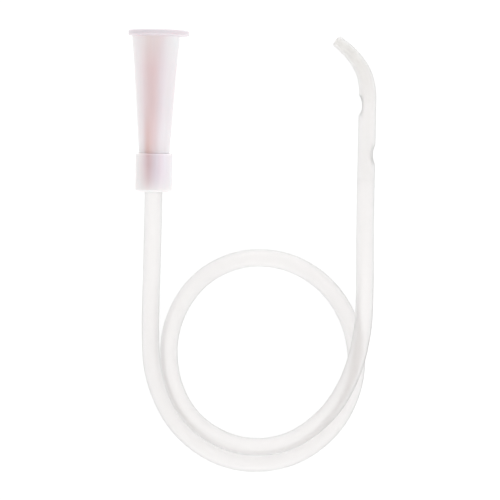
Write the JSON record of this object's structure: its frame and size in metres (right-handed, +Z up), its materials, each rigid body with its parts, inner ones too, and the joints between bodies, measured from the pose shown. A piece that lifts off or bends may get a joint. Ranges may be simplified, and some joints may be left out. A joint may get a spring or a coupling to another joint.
{
  "type": "suction catheter with funnel connector",
  "caption": "Clear soft suction tube lying in a loop, with a curved, tapered tip with side eyes and a pale pink flanged funnel connector in a ferrule.",
  "frame": {"origin": "on the surface that the part lies on, under the middle of the connector (funnel and ferrule)", "axes": "+Y along the connector towards its mouth, +Z up from the surface, +X towards the looped tube"},
  "size_m": [0.0856, 0.1514, 0.0206],
  "materials": {
    "pink_plastic": "semi-matt translucent pale pink soft plastic",
    "pink_collar": "semi-matt translucent pale pink soft plastic, slightly cooler than the funnel",
    "clear_tube": "clear, slightly frosted flexible plastic",
    "clear_tip": "clear, slightly frosted flexible plastic with smooth eyes"
  },
  "bodies": {
    "root": {"funnel_connector": "pink_plastic", "connector_collar": "pink_collar", "tube": "clear_tube", "curved_tip": "clear_tip"}
  },
  "joints": []
}
